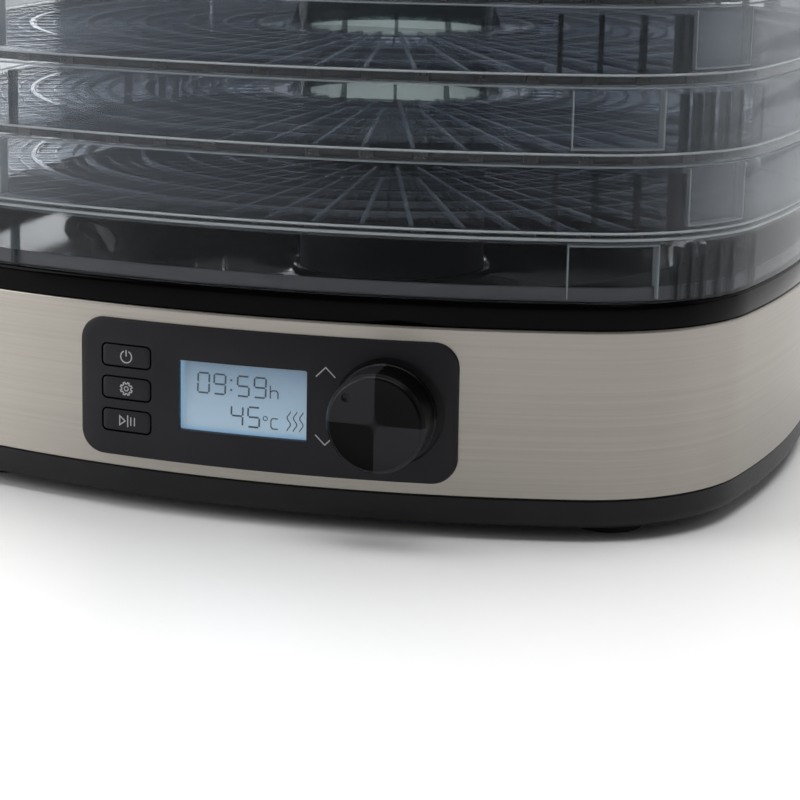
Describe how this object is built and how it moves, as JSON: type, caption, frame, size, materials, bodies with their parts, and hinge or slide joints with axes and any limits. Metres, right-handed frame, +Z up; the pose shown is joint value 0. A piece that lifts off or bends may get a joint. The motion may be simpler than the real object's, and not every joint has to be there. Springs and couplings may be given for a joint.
{
  "type": "food dehydrator",
  "caption": "Square-round food dehydrator with a steel base, front control panel and knob, and clear stacking trays under a vented lid.",
  "frame": {"origin": "middle of the footprint on the table, knob and cable gland included; the fan axis is 4.5 mm behind it", "axes": "+Z up, -Y towards the control panel, +X to the right of someone facing the panel"},
  "size_m": [0.3422, 0.365, 0.2535],
  "materials": {
    "casing_black": "fine satin texture",
    "deck_gloss": "glossy moulding",
    "panel_black": "soft matt",
    "knob_black": "black anodised, spun face",
    "brushed_band": "horizontal brushing",
    "tray_clear": "clear smoke-tinted moulding",
    "display_clear": "clear lens",
    "display_grey": "backlit panel",
    "foot_rubber": "matt",
    "bare_steel": "zinc-plated steel",
    "bronze": "sintered",
    "mica": "mica and ceramic insulation",
    "board_green": "solder mask",
    "relay_blue": "moulded case",
    "terminal_blue": "insulation",
    "lead_red": "silicone insulation",
    "ribbon_grey": "flat cable insulation"
  },
  "bodies": {
    "base": {"bottom_pan": "casing_black", "steel_band": "brushed_band", "top_deck": "deck_gloss", "outlet_hub": "casing_black", "heater_frame": "mica", "heater_coil": "bare_steel", "thermal_cutout": "bare_steel", "temperature_sensor": "bare_steel", "fan_shroud": "casing_black", "motor_bracket": "bare_steel", "motor_housing": "bare_steel", "motor_bush_upper": "bronze", "motor_bush_lower": "bronze", "control_panel": "panel_black", "display_window": "display_clear", "display_module": "display_grey", "push_switch_1": "panel_black", "push_switch_2": "panel_black", "push_switch_3": "panel_black", "encoder_body": "bare_steel", "control_board": "board_green", "power_board": "board_green", "relay": "relay_blue", "terminal_block": "terminal_blue", "fuse": "mica", "motor_lead": "lead_red", "ribbon_cable": "ribbon_grey", "heater_lead": "terminal_blue", "cable_gland": "foot_rubber", "foot_front_left": "foot_rubber", "foot_front_right": "foot_rubber", "foot_rear_right": "foot_rubber", "foot_rear_left": "foot_rubber", "base_screw_1": "bare_steel", "base_screw_2": "bare_steel", "base_screw_3": "bare_steel", "base_screw_4": "bare_steel", "bracket_screw_1": "bare_steel", "bracket_screw_2": "bare_steel", "bracket_screw_3": "bare_steel"},
    "fan": {"motor_rotor": "bare_steel", "fan_impeller": "casing_black"},
    "knob": {"selector_knob": "knob_black", "encoder_shaft": "bare_steel"},
    "power_button": {"power_button": "panel_black"},
    "settings_button": {"settings_button": "panel_black"},
    "start_button": {"start_button": "panel_black"},
    "collar": {"collar": "tray_clear"},
    "lid": {"lid": "tray_clear"},
    "tray_1": {"tray_1": "tray_clear", "tray_mesh_1": "tray_clear"},
    "tray_2": {"tray_2": "tray_clear", "tray_mesh_2": "tray_clear"},
    "tray_3": {"tray_3": "tray_clear", "tray_mesh_3": "tray_clear"},
    "tray_4": {"tray_4": "tray_clear", "tray_mesh_4": "tray_clear"},
    "tray_5": {"tray_5": "tray_clear", "tray_mesh_5": "tray_clear"}
  },
  "joints": [
    {"name": "fan_spin", "type": "hinge", "parent": "base", "child": "fan", "pos_m": [0, 0.0045, 0.045], "axis": [0, 0, 1], "continuous": true},
    {"name": "knob_spin", "type": "hinge", "parent": "base", "child": "knob", "pos_m": [0.0443, -0.175, 0.04375], "axis": [0, -1, 0], "continuous": true},
    {"name": "power_button_press", "type": "slide", "parent": "base", "child": "power_button", "axis": [0, 1, 0], "range_m": [0, 0.0008], "stiffness_N_per_m": 300},
    {"name": "settings_button_press", "type": "slide", "parent": "base", "child": "settings_button", "axis": [0, 1, 0], "range_m": [0, 0.0008], "stiffness_N_per_m": 300},
    {"name": "start_button_press", "type": "slide", "parent": "base", "child": "start_button", "axis": [0, 1, 0], "range_m": [0, 0.0008], "stiffness_N_per_m": 300},
    {"name": "collar_lift", "type": "slide", "parent": "base", "child": "collar", "axis": [0, 0, 1], "range_m": [0, 0.15]},
    {"name": "tray_1_lift", "type": "slide", "parent": "collar", "child": "tray_1", "axis": [0, 0, 1], "range_m": [0, 0.15]},
    {"name": "tray_2_lift", "type": "slide", "parent": "tray_1", "child": "tray_2", "axis": [0, 0, 1], "range_m": [0, 0.15]},
    {"name": "tray_3_lift", "type": "slide", "parent": "tray_2", "child": "tray_3", "axis": [0, 0, 1], "range_m": [0, 0.15]},
    {"name": "tray_4_lift", "type": "slide", "parent": "tray_3", "child": "tray_4", "axis": [0, 0, 1], "range_m": [0, 0.15]},
    {"name": "tray_5_lift", "type": "slide", "parent": "tray_4", "child": "tray_5", "axis": [0, 0, 1], "range_m": [0, 0.15]},
    {"name": "lid_lift", "type": "slide", "parent": "tray_5", "child": "lid", "axis": [0, 0, 1], "range_m": [0, 0.15]}
  ]
}
